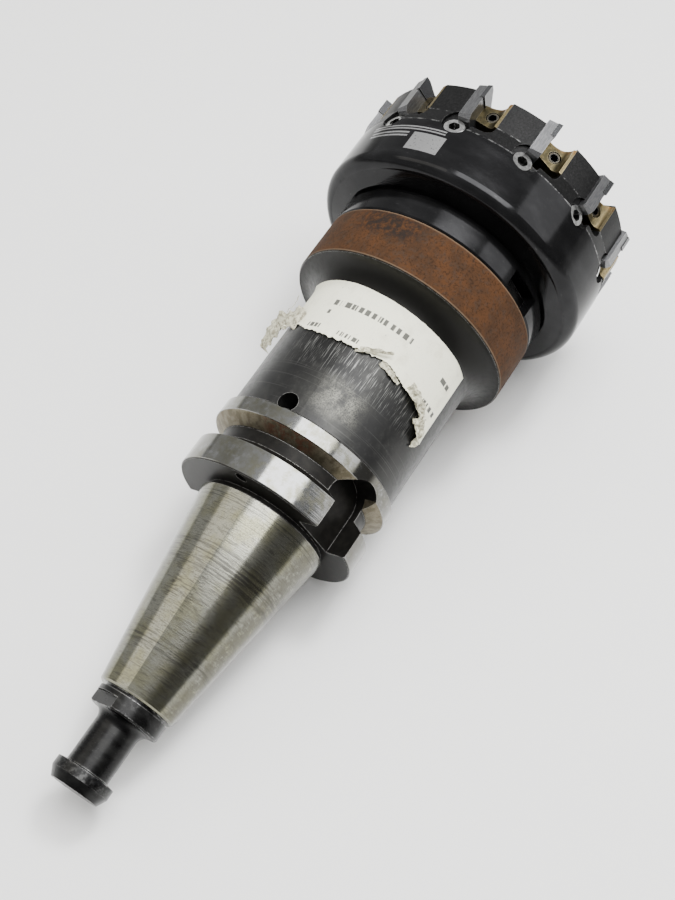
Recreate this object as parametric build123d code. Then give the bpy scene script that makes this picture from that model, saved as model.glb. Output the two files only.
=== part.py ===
from build123d import *
import os
from math import asin, atan2, cos, degrees, hypot, radians, sin, tan

# Face mill on a No. 40 taper holder, lying on a flat surface, in millimetres.
#
# Every piece is drawn about the tool's own axis: +Z runs along the axis, from the gauge line towards
# the cutting end, and +X is the side that is uppermost when the tool lies down. Angles about the axis
# are counted from that side, in the cutting direction. place() then lays the whole tool down: its
# gauge-line centre is the origin, the axis leans up towards +X, and +Z is up.

# ---- Holder: 7/24 taper, flange, body, collar and pilot --------------------------------------------
TAPER_GAUGE_RADIUS = 22.225
TAPER_LENGTH = 65.4
TAPER_SLOPE = 7 / 48
FLANGE_RADIUS = 31.5
FLANGE_BACK = 2.0
FLANGE_FRONT = 27.0
FLANGE_CHAMFER = 0.5
UNDERCUT_START = 0.5
UNDERCUT_RADIUS = 21.0
GROOVE_CENTRE = 16.6
GROOVE_WIDTH = 10.0
GROOVE_BOTTOM_RADIUS = 26.5
GROOVE_FLANK_ANGLE = 30
KEYWAY_WIDTH = 16.1
KEYWAY_FLOOR = 22.6
KEYWAY_END = 24.0
KEY_ANGLES = (60, 240)
BODY_RADIUS = 30.0
BODY_FILLET = 8.0
COLLAR_RADIUS = 39.0
COLLAR_BACK = 81.3
COLLAR_FACE = 100.0
COLLAR_CHAMFER = 0.4
PILOT_RADIUS = 16.0
PILOT_LENGTH = 24.0
THREAD_RADIUS = 8.0
STUD_HOLE_DEPTH = 36.0
STUD_SPIGOT_RADIUS = 8.5
STUD_SPIGOT_DEPTH = 6.0
LOCK_HOLE_DEPTH = 36.0
SPANNER_HOLE_RADIUS = 3.25
SPANNER_HOLE_DEPTH = 9.0
SPANNER_HOLE_POSITION = 29.5
SPANNER_HOLE_ANGLE = -10
COOLANT_HOLE_RADIUS = 2.0
COOLANT_HOLE_CENTRE = 27.7
COOLANT_HOLE_DEPTH = 5.0
COOLANT_HOLE_ANGLE = -8

# ---- Pull stud, measured back from the small end of the taper --------------------------------------
STUD_SEAT = 1.0
STUD_CHAMFER = 0.5
STUD_SEAT_RADIUS = 10.3
STUD_FLANGE_END = 6.3
STUD_FLANGE_RADIUS = 11.5
STUD_FLAT_ACROSS = 19.0
STUD_FLAT_START = 2.6
STUD_FLAT_ANGLE = -41
STUD_NECK_RADIUS = 7.0
STUD_FLARE = 3.2
STUD_HEAD_BACK = 23.5
STUD_HEAD_RADIUS = 9.5
STUD_HEAD_RIM_END = 27.0
STUD_HEAD_END = 30.0
STUD_END_RADIUS = 7.9
STUD_THREAD_START = 5.0
STUD_THREAD_END = 25.0
STUD_THREAD_CHAMFER = 1.0

# ---- Drive keys on the collar face -----------------------------------------------------------------
KEY_WIDTH = 14.0
KEY_CHAMFER = 0.6
KEY_HEIGHT = 7.0
KEY_SEAT_DEPTH = 5.0
KEY_INNER = 19.0
KEY_OUTER = 34.5
KEY_SCREW_RADIUS = 3.0
KEY_SCREW_HEAD_RADIUS = 5.0
KEY_SCREW_HEAD = 6.0
KEY_SCREW_SINK = 0.5
KEY_SCREW_LENGTH = 12.0
KEY_SCREW_HEX = 5.0
KEY_SCREW_HEX_DEPTH = 3.0
KEY_COUNTERBORE_GAP = 0.3

# ---- Cutter body -----------------------------------------------------------------------------------
HUB_RADIUS = 38.9
HUB_CHAMFER = 0.8
HUB_FRONT = 108.4
HUB_GROOVE_RADIUS = 37.6
HUB_GROOVE_WIDTH = 2.0
SHOULDER_RADIUS = 39.4
BACK_FACE = 111.6
BACK_CORNER = 4.0
RIM_RADIUS = 49.0
RIM_FRONT = 131.1
BLOCK_RADIUS = 48.0
BLOCK_BACK = 136.9
BLOCK_FRONT = 148.6
BLOCK_CHAMFER = 0.5
FACE_RING_RADIUS = 33.5
FACE_RING_SLOPE = 2.0
FACE_RECESS = 143.0
COUNTERBORE_RADIUS = 23.0
COUNTERBORE_CHAMFER = 1.0
SCREW_SEAT = 126.0
DRIVE_SLOT_WIDTH = 14.4
DRIVE_SLOT_DEPTH = 8.4

# ---- Arbor lock screw ------------------------------------------------------------------------------
LOCK_HEAD_RADIUS = 20.0
LOCK_HEAD = 10.0
LOCK_CHAMFER = 1.5
LOCK_HEX = 14.0
LOCK_HEX_DEPTH = 8.0
LOCK_LENGTH = 30.0

# ---- Teeth: in a tooth's frame +X is radial, +Y points in the cutting direction --------------------
TOOTH_COUNT = 12
FIRST_TOOTH_ANGLE = -5
POCKET_FLOOR = 35.5
POCKET_BACK = 133.0
POCKET_CORNER = 3.0
WEDGE_WALL_WIDTH = 9.0
WEDGE_WALL_RADIUS = 47.5
WEDGE_ANGLE = 10

CUTTING_PLANE = 150.0
TIP_RADIUS = 50.0
BLADE_THICKNESS = 4.1
BLADE_RADIUS = 49.7
BLADE_FRONT = 148.9
BLADE_FRONT_FALL = 0.6
BLADE_FLOOR_GAP = 0.1
BLADE_RELIEF = 8
BLADE_BEVEL = 1.3
BLADE_FRONT_RELIEF = 10
TIP_WIDTH = 7.0
TIP_THICKNESS = 1.6
TIP_LENGTH = 5.4
TIP_PROUD = 0.45
WIPER_WIDTH = 2.0
TIP_FACE_SLOPE = 20

WEDGE_INNER = 36.5
WEDGE_OUTER = 47.3
WEDGE_FLAT = 44.9
WEDGE_FLAT_WIDTH = 4.9
WEDGE_SCOOP_RADIUS = 3.2
WEDGE_BACK = 139.0
WEDGE_END_ANGLE = 13
WEDGE_FRONT = 147.9
WEDGE_TRAVEL = 1.2
GULLET_RADIUS = 10.5
GULLET_OFFSET = 2.5
GULLET_BOTTOM = 145.6
WEDGE_SCREW_OFFSET = 4.5
WEDGE_SCREW_POSITION = 142.0
WEDGE_SCREW_RADIUS = 2.2
WEDGE_SCREW_OUTER = 44.8
WEDGE_SCREW_INNER = 28.0
WEDGE_SCREW_HEX = 2.5
WEDGE_SCREW_HEX_DEPTH = 4.0

ADJUSTER_OFFSET = -3.4
ADJUSTER_POSITION = 131.7
ADJUSTER_TILT = 10
ADJUSTER_RADIUS = 3.6
ADJUSTER_FACE = 47.6
ADJUSTER_HEAD = 11.0
ADJUSTER_THREAD_RADIUS = 2.5
ADJUSTER_LENGTH = 17.0
ADJUSTER_HEX = 3.5
ADJUSTER_HEX_DEPTH = 3.0
SPOTFACE_RADIUS = 5.0
SPOTFACE_OFFSET = -2.9
SPOTFACE_POSITION = 133.1
SPOTFACE_FLOOR = 46.6

# ---- Paper label wrapped on the body ---------------------------------------------------------------
LABEL_THICKNESS = 0.15
LABEL_BACK = 52.0
LABEL_FRONT = 73.2
LABEL_START_ANGLE = -88
LABEL_END_ANGLE = 77
LABEL_STEPS = 6

# ---- Shared small values ---------------------------------------------------------------------------
GAP = 0.02
RUNNING_GAP = 0.05
SCREW_CHAMFER = 0.3
HOLE_EXTRA = 1.0
HEX_CORNER = 2 / 3 ** 0.5

# How far a cutting shape runs past the surface it opens: short where another face is near, long where
# there is only air.
PAST = 1.0
WELL_PAST = 10.0


def in_section(points, y=0):
    """(radius, position) points as points of the XZ plane, or of a plane parallel to it."""
    return [(radius, y, position) for radius, position in points]


def turned(*points):
    """Solid of revolution about the tool axis from (radius, position) points."""
    return revolve(make_face(Polyline(*in_section(points), close=True)), Axis.Z)


def cylinder_along(axis_plane, radius, start, end):
    """Cylinder on the plane's normal, from start to end along it."""
    return axis_plane * Pos(0, 0, (start + end) / 2) * Cylinder(radius, end - start)


def hex_prism(axis_plane, across_flats, start, end):
    """Hexagonal prism on the plane's normal, from start to end along it."""
    hexagon = RegularPolygon(across_flats / 2 * HEX_CORNER, 6)
    return axis_plane * Pos(0, 0, start) * extrude(hexagon, end - start)


def radial_plane(offset, position, tilt=0):
    """Plane whose normal leaves the tool radially, leaning towards the cutting end by tilt."""
    normal = (cos(radians(tilt)), 0, sin(radians(tilt)))
    return Plane(origin=(0, offset, position), x_dir=(0, 1, 0), z_dir=normal)


def block(x_range, y_range, z_range):
    """Box between the given limits."""
    spans = (x_range, y_range, z_range)
    size = [high - low for low, high in spans]
    centre = [(high + low) / 2 for low, high in spans]
    return Pos(*centre) * Box(*size)


def about_axis(shape, angle):
    """Shape turned about the tool axis."""
    return Rot(0, 0, angle) * shape


def holder_outline():
    """Half section of the holder, from the small end of the taper to the pilot."""
    small_radius = TAPER_GAUGE_RADIUS - TAPER_LENGTH * TAPER_SLOPE
    groove_back = GROOVE_CENTRE - GROOVE_WIDTH / 2
    groove_front = GROOVE_CENTRE + GROOVE_WIDTH / 2
    flank = (FLANGE_RADIUS - GROOVE_BOTTOM_RADIUS) * tan(radians(GROOVE_FLANK_ANGLE))
    edge = FLANGE_CHAMFER
    pilot_end = COLLAR_FACE + PILOT_LENGTH
    return [
        (0, -TAPER_LENGTH),
        (small_radius - edge, -TAPER_LENGTH),
        (small_radius + edge * TAPER_SLOPE, -TAPER_LENGTH + edge),
        (TAPER_GAUGE_RADIUS, 0),
        (UNDERCUT_RADIUS, UNDERCUT_START),
        (UNDERCUT_RADIUS, FLANGE_BACK),
        (FLANGE_RADIUS - edge, FLANGE_BACK),
        (FLANGE_RADIUS, FLANGE_BACK + edge),
        (FLANGE_RADIUS, groove_back),
        (GROOVE_BOTTOM_RADIUS, groove_back + flank),
        (GROOVE_BOTTOM_RADIUS, groove_front - flank),
        (FLANGE_RADIUS, groove_front),
        (FLANGE_RADIUS, FLANGE_FRONT - edge),
        (FLANGE_RADIUS - edge, FLANGE_FRONT),
        (BODY_RADIUS, FLANGE_FRONT),
        (BODY_RADIUS, COLLAR_BACK),
        (COLLAR_RADIUS - COLLAR_CHAMFER, COLLAR_BACK),
        (COLLAR_RADIUS, COLLAR_BACK + COLLAR_CHAMFER),
        (COLLAR_RADIUS, COLLAR_FACE - COLLAR_CHAMFER),
        (COLLAR_RADIUS - COLLAR_CHAMFER, COLLAR_FACE),
        (PILOT_RADIUS - GAP, COLLAR_FACE),
        (PILOT_RADIUS - GAP, pilot_end - edge),
        (PILOT_RADIUS - GAP - edge, pilot_end),
        (0, pilot_end),
    ]


def body_fillet():
    """Ring that fills the inner corner between the body and the collar's back face."""
    start = COLLAR_BACK - BODY_FILLET
    inner = BODY_RADIUS - PAST
    outer = BODY_RADIUS + BODY_FILLET
    square = turned((inner, start), (outer, start), (outer, COLLAR_BACK), (inner, COLLAR_BACK))
    return square - Pos(0, 0, start) * Torus(outer, BODY_FILLET)


def keyway():
    """Cutter path of one drive keyway: a flat-floored slot with a round end."""
    half = KEYWAY_WIDTH / 2
    round_centre = KEYWAY_END - half
    reach = FLANGE_RADIUS + WELL_PAST
    slot = block((KEYWAY_FLOOR, reach), (-half, half), (-PAST, round_centre))
    end = cylinder_along(radial_plane(0, round_centre), half, KEYWAY_FLOOR, reach)
    return slot + end


def taper_holder():
    """Taper shank, flange, body, collar and pilot, turned in one piece."""
    solid = turned(*holder_outline()) + body_fillet()
    half = KEY_WIDTH / 2
    seat = block((KEY_INNER, KEY_OUTER), (-half, half), (COLLAR_FACE - KEY_SEAT_DEPTH, COLLAR_FACE + PAST))
    for angle in KEY_ANGLES:
        solid -= about_axis(keyway(), angle)
        solid -= about_axis(seat, angle)
        solid -= about_axis(key_screw_hole(), angle)
    mouth = -TAPER_LENGTH - PAST
    solid -= cylinder_along(Plane.XY, THREAD_RADIUS + GAP, mouth, STUD_HOLE_DEPTH - TAPER_LENGTH)
    solid -= cylinder_along(Plane.XY, STUD_SPIGOT_RADIUS + GAP, mouth, STUD_SPIGOT_DEPTH - TAPER_LENGTH)
    pilot_end = COLLAR_FACE + PILOT_LENGTH
    solid -= cylinder_along(Plane.XY, THREAD_RADIUS + GAP, pilot_end - LOCK_HOLE_DEPTH, pilot_end + PAST)
    floor = BODY_RADIUS - SPANNER_HOLE_DEPTH
    spanner = radial_plane(0, SPANNER_HOLE_POSITION)
    hole = cylinder_along(spanner, SPANNER_HOLE_RADIUS, floor, BODY_RADIUS + WELL_PAST)
    solid -= about_axis(hole, SPANNER_HOLE_ANGLE)
    depth = (FLANGE_BACK - PAST, FLANGE_BACK + COOLANT_HOLE_DEPTH)
    coolant = Pos(COOLANT_HOLE_CENTRE, 0, 0) * cylinder_along(Plane.XY, COOLANT_HOLE_RADIUS, *depth)
    return solid - about_axis(coolant, COOLANT_HOLE_ANGLE)


def pull_stud():
    """Retention knob screwed into the small end of the taper."""
    outline = [
        (0, STUD_HEAD_END),
        (STUD_END_RADIUS, STUD_HEAD_END),
        (STUD_HEAD_RADIUS, STUD_HEAD_RIM_END),
        (STUD_HEAD_RADIUS, STUD_HEAD_BACK + STUD_CHAMFER),
        (STUD_NECK_RADIUS, STUD_HEAD_BACK),
        (STUD_NECK_RADIUS, STUD_FLANGE_END),
        (STUD_FLANGE_RADIUS - STUD_CHAMFER, STUD_FLANGE_END),
        (STUD_FLANGE_RADIUS, STUD_FLANGE_END - STUD_CHAMFER),
        (STUD_FLANGE_RADIUS, STUD_SEAT),
        (STUD_SEAT_RADIUS, STUD_SEAT),
        (STUD_SEAT_RADIUS, 0),
        (STUD_SPIGOT_RADIUS, 0),
        (STUD_SPIGOT_RADIUS, -STUD_THREAD_START),
        (THREAD_RADIUS, -STUD_THREAD_START),
        (THREAD_RADIUS, -STUD_THREAD_END + STUD_THREAD_CHAMFER),
        (THREAD_RADIUS - STUD_THREAD_CHAMFER, -STUD_THREAD_END),
        (0, -STUD_THREAD_END),
    ]
    solid = turned(*[(radius, -TAPER_LENGTH - depth) for radius, depth in outline])
    flare_end = -TAPER_LENGTH - STUD_FLANGE_END - STUD_FLARE
    flare_top = flare_end + STUD_FLARE
    inner = STUD_NECK_RADIUS - PAST
    outer = STUD_NECK_RADIUS + STUD_FLARE
    square = turned((inner, flare_end), (outer, flare_end), (outer, flare_top), (inner, flare_top))
    solid += square - Pos(0, 0, flare_end) * Torus(outer, STUD_FLARE)
    flats = (flare_end, -TAPER_LENGTH - STUD_FLAT_START)
    for side in (-1, 1):
        near, far = sorted((side * STUD_FLAT_ACROSS / 2, side * 2 * STUD_FLAT_ACROSS))
        solid -= block((near, far), (-STUD_FLAT_ACROSS, STUD_FLAT_ACROSS), flats)
    return about_axis(solid, STUD_FLAT_ANGLE)


def key_screw_hole():
    """Tapped hole in the collar for a drive key's screw."""
    bottom = COLLAR_FACE - KEY_SEAT_DEPTH - KEY_SCREW_LENGTH - HOLE_EXTRA
    centre = (KEY_INNER + KEY_OUTER) / 2
    return Pos(centre, 0, 0) * cylinder_along(Plane.XY, KEY_SCREW_RADIUS + GAP, bottom, COLLAR_FACE + PAST)


def drive_key():
    """Rectangular key, counterbored for its screw."""
    bottom = COLLAR_FACE - KEY_SEAT_DEPTH
    top = COLLAR_FACE + KEY_HEIGHT
    half = KEY_WIDTH / 2 - GAP
    key = block((KEY_INNER + GAP, KEY_OUTER - GAP), (-half, half), (bottom, top))
    key = chamfer(key.edges().group_by(Axis.Z)[-1], KEY_CHAMFER)
    centre = Pos((KEY_INNER + KEY_OUTER) / 2, 0, 0)
    key -= centre * cylinder_along(Plane.XY, KEY_SCREW_RADIUS + GAP, bottom - PAST, top)
    radius = KEY_SCREW_HEAD_RADIUS + KEY_COUNTERBORE_GAP
    depth = KEY_SCREW_HEAD + KEY_SCREW_SINK
    return key - centre * cylinder_along(Plane.XY, radius, top - depth, top + PAST)


def drive_key_screw():
    """Socket cap screw that holds a drive key."""
    seat = COLLAR_FACE + KEY_HEIGHT - KEY_SCREW_HEAD - KEY_SCREW_SINK
    top = seat + KEY_SCREW_HEAD
    end = COLLAR_FACE - KEY_SEAT_DEPTH - KEY_SCREW_LENGTH
    screw = cylinder_along(Plane.XY, KEY_SCREW_HEAD_RADIUS, seat, top)
    screw += cylinder_along(Plane.XY, KEY_SCREW_RADIUS, end, seat)
    screw -= hex_prism(Plane.XY, KEY_SCREW_HEX, top - KEY_SCREW_HEX_DEPTH, top + PAST)
    return Pos((KEY_INNER + KEY_OUTER) / 2, 0, 0) * screw


def cutter_blank():
    """Turned cutter body, before its slots and pockets."""
    bore = PILOT_RADIUS
    corner_centre = (RIM_RADIUS - BACK_CORNER, BACK_FACE + BACK_CORNER)
    slant = BACK_CORNER * cos(radians(45))
    mid = (corner_centre[0] + slant, corner_centre[1] - slant)
    back = [
        (bore, COLLAR_FACE),
        (HUB_RADIUS - HUB_CHAMFER, COLLAR_FACE),
        (HUB_RADIUS, COLLAR_FACE + HUB_CHAMFER),
        (HUB_RADIUS, HUB_FRONT),
        (HUB_GROOVE_RADIUS, HUB_FRONT),
        (HUB_GROOVE_RADIUS, HUB_FRONT + HUB_GROOVE_WIDTH),
        (SHOULDER_RADIUS, HUB_FRONT + HUB_GROOVE_WIDTH),
        (corner_centre[0], BACK_FACE),
    ]
    front = [
        (RIM_RADIUS, corner_centre[1]),
        (RIM_RADIUS, RIM_FRONT),
        (BLOCK_RADIUS, BLOCK_BACK),
        (BLOCK_RADIUS, BLOCK_FRONT - BLOCK_CHAMFER),
        (BLOCK_RADIUS - BLOCK_CHAMFER, BLOCK_FRONT),
        (FACE_RING_RADIUS, BLOCK_FRONT),
        (FACE_RING_RADIUS - FACE_RING_SLOPE, FACE_RECESS),
        (COUNTERBORE_RADIUS + COUNTERBORE_CHAMFER, FACE_RECESS),
        (COUNTERBORE_RADIUS, FACE_RECESS - COUNTERBORE_CHAMFER),
        (COUNTERBORE_RADIUS, SCREW_SEAT),
        (bore, SCREW_SEAT),
        (bore, COLLAR_FACE),
    ]
    arc = ThreePointArc(*in_section([back[-1], mid, front[0]]))
    outline = Polyline(*in_section(back)) + arc + Polyline(*in_section(front))
    return revolve(make_face(outline), Axis.Z)


def wedge_wall(radius):
    """Distance of the pocket's slanted wall from the rake plane, at a radius."""
    return WEDGE_WALL_WIDTH + (radius - WEDGE_WALL_RADIUS) * tan(radians(WEDGE_ANGLE))


def prism_along(points, start, end):
    """Solid with the given (x, y) outline, from start to end along the tool axis."""
    return extrude(Plane.XY.offset(start) * make_face(Polyline(*points, close=True)), end - start)


def tooth_pocket():
    """Pocket for a blade and its wedge, open outwards and towards the cutting end."""
    reach = TIP_RADIUS + WELL_PAST
    back = -BLADE_THICKNESS - GAP
    floor_wall, open_wall = wedge_wall(POCKET_FLOOR), wedge_wall(reach)
    corners = [(POCKET_FLOOR, back), (reach, back), (reach, open_wall), (POCKET_FLOOR, floor_wall)]
    pocket = prism_along(corners, POCKET_BACK, BLOCK_FRONT + PAST)
    low_edges = pocket.edges().group_by(Axis.Z)[0]
    return fillet([low_edges.sort_by(Axis.Y)[-1]], POCKET_CORNER)


def adjuster_plane():
    """Plane on the adjusting screw's axis, normal to it, where the axis meets the tool axis level."""
    drop = ADJUSTER_FACE * tan(radians(ADJUSTER_TILT))
    return radial_plane(ADJUSTER_OFFSET, ADJUSTER_POSITION - drop, ADJUSTER_TILT)


def adjuster_face():
    """Distance along the adjusting screw's axis to its outer end."""
    return ADJUSTER_FACE / cos(radians(ADJUSTER_TILT))


def wedge_screw_hole():
    """Tapped hole in the pocket floor for the wedge screw."""
    axis = radial_plane(WEDGE_SCREW_OFFSET, WEDGE_SCREW_POSITION)
    start = WEDGE_SCREW_INNER - HOLE_EXTRA
    return cylinder_along(axis, WEDGE_SCREW_RADIUS + RUNNING_GAP, start, POCKET_FLOOR + PAST)


def adjuster_hole():
    """Stepped hole for the adjusting screw: a bore for the head and a tapped hole beyond it."""
    face = adjuster_face()
    head_floor = face - ADJUSTER_HEAD - RUNNING_GAP
    thread_end = face - ADJUSTER_LENGTH - HOLE_EXTRA
    hole = cylinder_along(adjuster_plane(), ADJUSTER_RADIUS + RUNNING_GAP, head_floor, face + WELL_PAST)
    return hole + cylinder_along(adjuster_plane(), ADJUSTER_THREAD_RADIUS + RUNNING_GAP, thread_end, face)


def cutter_body():
    """Cutter body with its drive slots, tooth pockets and screw holes."""
    body = cutter_blank()
    half = DRIVE_SLOT_WIDTH / 2
    depth = (COLLAR_FACE - PAST, COLLAR_FACE + DRIVE_SLOT_DEPTH)
    slot = block((PILOT_RADIUS - PAST, HUB_RADIUS + WELL_PAST), (-half, half), depth)
    for angle in KEY_ANGLES:
        body -= about_axis(slot, angle)
    cuts = tooth_pocket() + wedge_screw_hole() + adjuster_hole()
    spotface = radial_plane(SPOTFACE_OFFSET, SPOTFACE_POSITION)
    cuts += cylinder_along(spotface, SPOTFACE_RADIUS, SPOTFACE_FLOOR, RIM_RADIUS + WELL_PAST)
    for angle in tooth_angles():
        body -= about_axis(cuts, angle)
    return body


def tooth_angles():
    """Angle of each tooth's rake plane."""
    pitch = 360 / TOOTH_COUNT
    return [FIRST_TOOTH_ANGLE + pitch * index for index in range(TOOTH_COUNT)]


def blade():
    """Steel blade, with a notch for the tip, and the brazed tip plate as a second solid."""
    foot = adjuster_flank(BLADE_RADIUS) + GAP
    inner_foot = adjuster_flank(POCKET_FLOOR) + GAP
    inner = POCKET_FLOOR + BLADE_FLOOR_GAP
    bevel = BLADE_BEVEL
    side = [
        (inner, inner_foot),
        (BLADE_RADIUS - bevel, adjuster_flank(BLADE_RADIUS - bevel) + GAP),
        (BLADE_RADIUS, foot + bevel),
        (BLADE_RADIUS, CUTTING_PLANE),
        (BLADE_RADIUS - TIP_WIDTH, BLADE_FRONT),
        (inner, BLADE_FRONT - BLADE_FRONT_FALL),
    ]
    face = make_face(Polyline(*in_section(side), close=True))
    steel = extrude(face, BLADE_THICKNESS, dir=(0, -1, 0))
    steel -= relief_cut(BLADE_RADIUS)
    notch = tip_slab(CUTTING_PLANE + PAST, TIP_PROUD + PAST)
    tip = tip_slab(CUTTING_PLANE, TIP_PROUD) - relief_cut(TIP_RADIUS) - tip_slope()
    return Compound(children=[steel - notch, tip])


def adjuster_flank(radius):
    """Position of the adjusting screw's front flank at a radius."""
    axis_position = ADJUSTER_POSITION + (radius - ADJUSTER_FACE) * tan(radians(ADJUSTER_TILT))
    return axis_position + ADJUSTER_RADIUS / cos(radians(ADJUSTER_TILT))


def tip_slab(front, proud):
    """Slab of the tip plate, from its seat in the steel out to a height over the rake plane."""
    back = CUTTING_PLANE - TIP_LENGTH
    return block((TIP_RADIUS - TIP_WIDTH, TIP_RADIUS), (TIP_PROUD - TIP_THICKNESS, proud), (back, front))


def relief_cut(radius):
    """Everything outside a tooth's clearance faces: behind the outer edge and behind the front edge."""
    start, end = TIP_PROUD, -BLADE_THICKNESS - PAST
    fall = (start - end) * tan(radians(BLADE_RELIEF))
    front_fall = (start - end) * tan(radians(BLADE_FRONT_RELIEF))
    reach = radius + WELL_PAST
    top = CUTTING_PLANE + WELL_PAST
    outer = [(radius, start), (reach, start), (reach, end), (radius - fall, end)]
    outside = prism_along(outer, POCKET_BACK - PAST, top)
    front = [(start, CUTTING_PLANE), (start, top), (end, top), (end, CUTTING_PLANE - front_fall)]
    face = make_face(Polyline(*[(POCKET_FLOOR - PAST, y, z) for y, z in front], close=True))
    return outside + extrude(face, reach - POCKET_FLOOR + PAST, dir=(1, 0, 0))


def tip_slope():
    """Cut that slopes the tip's face edge back from the wiper flat towards the tool axis."""
    start = TIP_RADIUS - WIPER_WIDTH
    inner = TIP_RADIUS - TIP_WIDTH - PAST
    fall = (start - inner) * tan(radians(TIP_FACE_SLOPE))
    top = CUTTING_PLANE + PAST
    section = [(start, CUTTING_PLANE), (inner, CUTTING_PLANE - fall), (inner, top), (start, top)]
    near, far = TIP_PROUD + PAST, -TIP_THICKNESS - PAST
    face = make_face(Polyline(*in_section(section, near), close=True))
    return extrude(face, near - far, dir=(0, -1, 0))


def wedge():
    """Clamping wedge: scooped outer face with a raised rim, slanted back and a curved gullet in front."""
    inner_wall, outer_wall = wedge_wall(WEDGE_INNER) - GAP, wedge_wall(WEDGE_OUTER) - GAP
    corners = [(WEDGE_INNER, GAP), (WEDGE_OUTER, GAP), (WEDGE_OUTER, outer_wall), (WEDGE_INNER, inner_wall)]
    end_slope = tan(radians(WEDGE_END_ANGLE))
    base = WEDGE_BACK - WEDGE_WALL_WIDTH * end_slope
    below = base - PAST
    outside = WEDGE_OUTER + PAST
    solid = prism_along(corners, base, WEDGE_FRONT)
    gullet = radial_plane(GULLET_OFFSET, GULLET_BOTTOM + GULLET_RADIUS)
    solid -= cylinder_along(gullet, GULLET_RADIUS, WEDGE_INNER - PAST, outside)
    solid -= block((WEDGE_FLAT, outside), (-PAST, WEDGE_FLAT_WIDTH), (below, WEDGE_FRONT + PAST))
    scoop = Pos(WEDGE_FLAT + WEDGE_SCOOP_RADIUS, WEDGE_FLAT_WIDTH, 0)
    solid -= scoop * cylinder_along(Plane.XY, WEDGE_SCOOP_RADIUS, below, WEDGE_FRONT + PAST)
    wide = WEDGE_WALL_WIDTH + PAST
    near_end, far_end = WEDGE_BACK + PAST * end_slope, base - PAST * end_slope
    end = [(-PAST, below), (-PAST, near_end), (wide, far_end), (wide, below)]
    slant = make_face(Polyline(*[(WEDGE_INNER - PAST, y, z) for y, z in end], close=True))
    solid -= extrude(slant, outside - WEDGE_INNER + PAST, dir=(1, 0, 0))
    axis = radial_plane(WEDGE_SCREW_OFFSET, WEDGE_SCREW_POSITION)
    solid -= cylinder_along(axis, WEDGE_SCREW_RADIUS + RUNNING_GAP, WEDGE_INNER - PAST, outside)
    return solid - tip_clearance()


def tip_clearance():
    """Room in the wedge for the tip plate that stands proud of the blade, over the wedge's whole travel."""
    inner = TIP_RADIUS - TIP_WIDTH - WEDGE_TRAVEL - RUNNING_GAP
    back = CUTTING_PLANE - TIP_LENGTH - RUNNING_GAP
    deep = TIP_PROUD + RUNNING_GAP
    return block((inner, WEDGE_OUTER + PAST), (-PAST, deep), (back, WEDGE_FRONT + PAST))


def socket_screw(plane, radius, inner, outer, across_flats, socket_depth):
    """Headless screw with a hexagon socket in its outer end and a small edge chamfer."""
    screw = cylinder_along(plane, radius, inner, outer)
    ends = screw.edges().filter_by(GeomType.CIRCLE)
    screw = chamfer(ends, SCREW_CHAMFER)
    return screw - hex_prism(plane, across_flats, outer - socket_depth, outer + PAST)


def wedge_screw():
    """Differential screw that draws the wedge inwards."""
    axis = radial_plane(WEDGE_SCREW_OFFSET, WEDGE_SCREW_POSITION)
    length = (WEDGE_SCREW_INNER, WEDGE_SCREW_OUTER)
    return socket_screw(axis, WEDGE_SCREW_RADIUS, *length, WEDGE_SCREW_HEX, WEDGE_SCREW_HEX_DEPTH)


def adjusting_screw():
    """Screw behind a blade that sets how far the blade stands out."""
    plane = adjuster_plane()
    face = adjuster_face()
    head = socket_screw(plane, ADJUSTER_RADIUS, face - ADJUSTER_HEAD, face, ADJUSTER_HEX, ADJUSTER_HEX_DEPTH)
    return head + cylinder_along(plane, ADJUSTER_THREAD_RADIUS, face - ADJUSTER_LENGTH, face - ADJUSTER_HEAD)


def lock_screw():
    """Large socket screw that clamps the cutter body on the pilot."""
    top = SCREW_SEAT + LOCK_HEAD
    head = cylinder_along(Plane.XY, LOCK_HEAD_RADIUS, SCREW_SEAT, top)
    head = chamfer(head.edges().group_by(Axis.Z)[-1], LOCK_CHAMFER)
    screw = head + cylinder_along(Plane.XY, THREAD_RADIUS, SCREW_SEAT - LOCK_LENGTH, SCREW_SEAT)
    return screw - hex_prism(Plane.XY, LOCK_HEX, top - LOCK_HEX_DEPTH, top + PAST)


def paper_label():
    """Thin sheet glued round part of the body."""
    inner = cylinder_along(Plane.XY, BODY_RADIUS, LABEL_BACK - PAST, LABEL_FRONT + PAST)
    ring = cylinder_along(Plane.XY, BODY_RADIUS + LABEL_THICKNESS, LABEL_BACK, LABEL_FRONT) - inner
    reach = 2 * BODY_RADIUS
    step = radians(LABEL_END_ANGLE - LABEL_START_ANGLE) / LABEL_STEPS
    rays = [radians(LABEL_START_ANGLE) + step * index for index in range(LABEL_STEPS + 1)]
    fan = [(0, 0)] + [(reach * cos(ray), reach * sin(ray)) for ray in rays]
    return ring & prism_along(fan, LABEL_BACK, LABEL_FRONT)


def rest_tilt():
    """Lean of the axis when the flange and the cutter body's back corner touch a flat surface."""
    along = BACK_FACE + BACK_CORNER - FLANGE_BACK - FLANGE_CHAMFER
    across = RIM_RADIUS - BACK_CORNER - FLANGE_RADIUS
    return degrees(atan2(across, along) + asin(BACK_CORNER / hypot(along, across)))


def place(shape):
    """Lay a piece down from the tool's own axis to the finished position."""
    tilt = radians(rest_tilt())
    lying = Plane(origin=(0, 0, 0), x_dir=(-sin(tilt), 0, cos(tilt)), z_dir=(cos(tilt), 0, sin(tilt)))
    return lying.location * shape


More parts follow.
